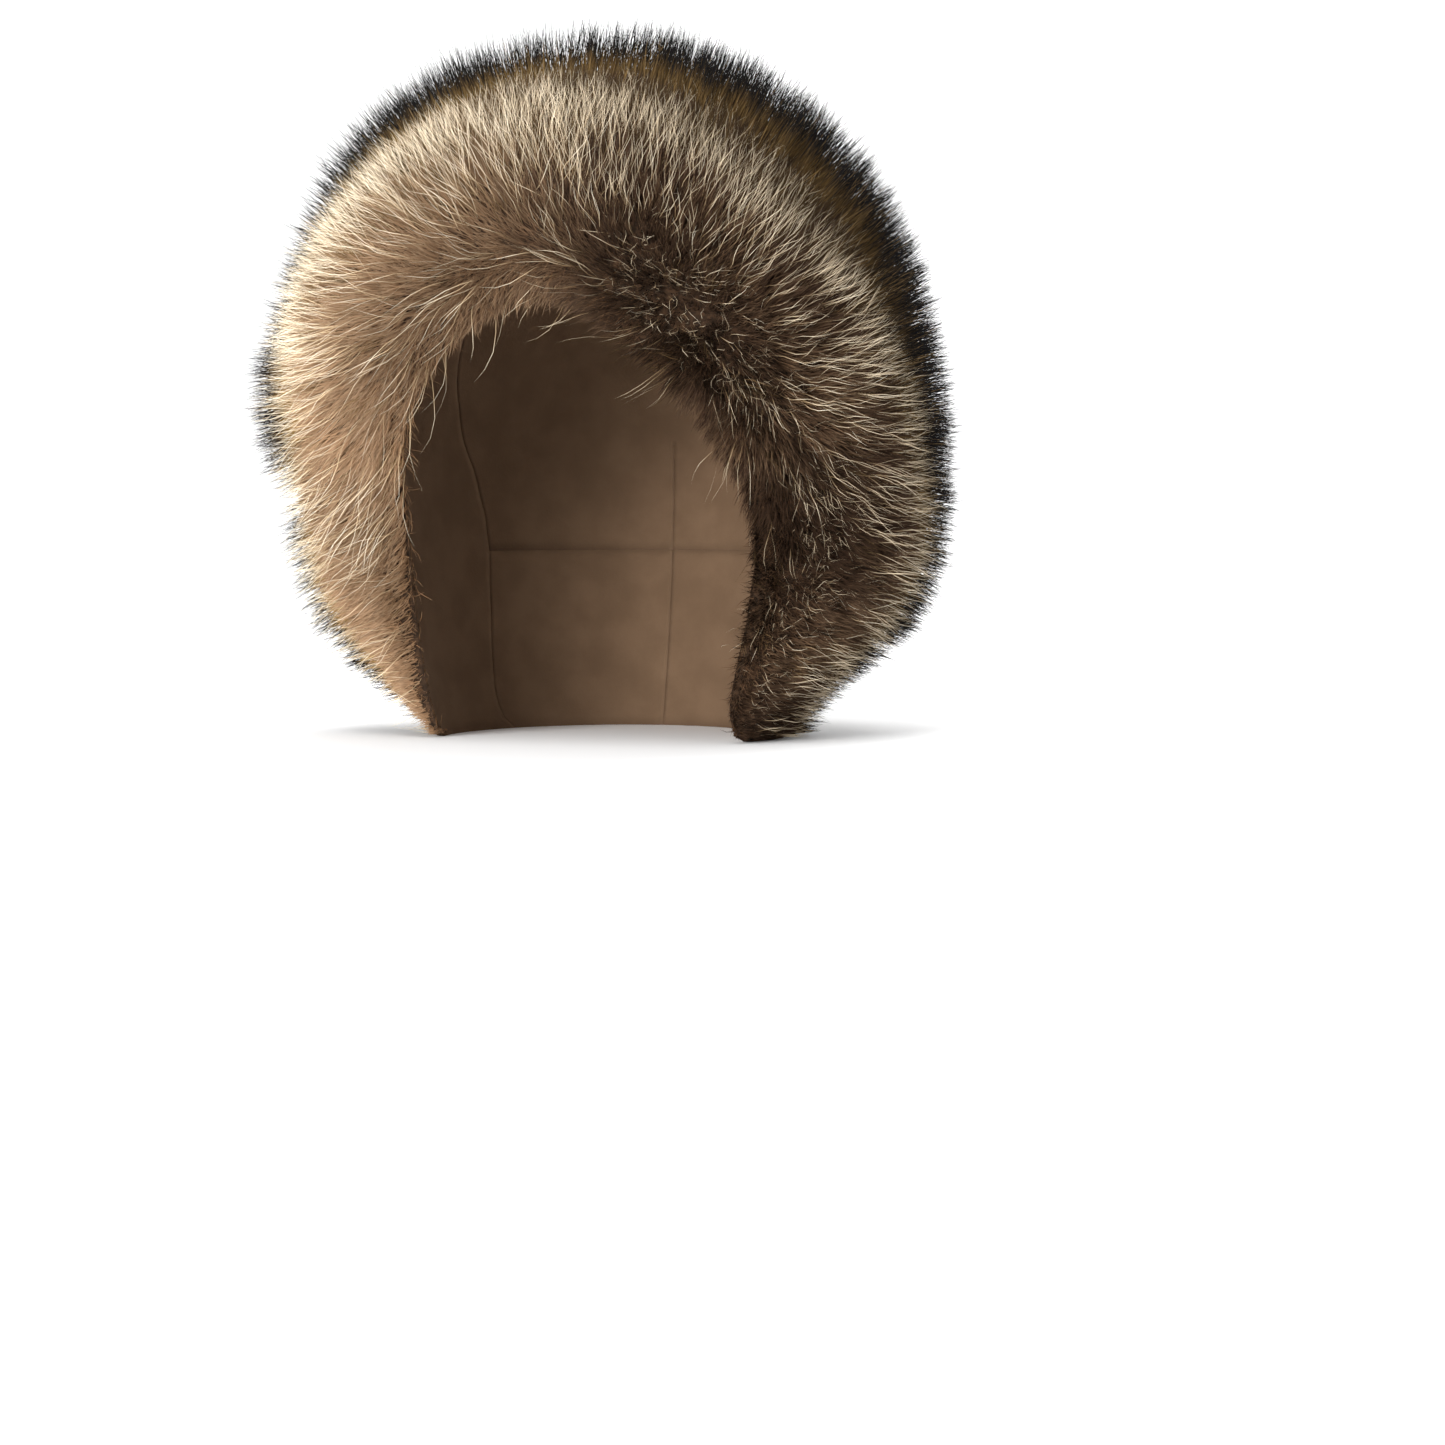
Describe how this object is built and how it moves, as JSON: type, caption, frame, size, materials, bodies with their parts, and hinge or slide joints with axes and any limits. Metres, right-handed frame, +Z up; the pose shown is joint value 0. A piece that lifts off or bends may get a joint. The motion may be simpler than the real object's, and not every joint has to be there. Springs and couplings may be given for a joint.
{
  "type": "fur hat",
  "caption": "Round full-fur hat with an arched opening for the face, deep brown fur with black tips, standing on its lower edge.",
  "frame": {"origin": "on the floor under the middle of the hat", "axes": "+Z up, -Y the way the face looks, +X the wearer's left"},
  "size_m": [0.2816, 0.2667, 0.2791],
  "materials": {
    "face_band_fur": "soft brown fur with long cream guard hairs, suede on the skin side",
    "crown_fur": "tan and olive brown fur with black tips, suede on the skin side",
    "nape_panel_fur": "dark brown fur with black tips, suede on the skin side"
  },
  "bodies": {
    "root": {"face_band": "face_band_fur", "crown": "crown_fur", "nape_panel": "nape_panel_fur"}
  },
  "joints": []
}
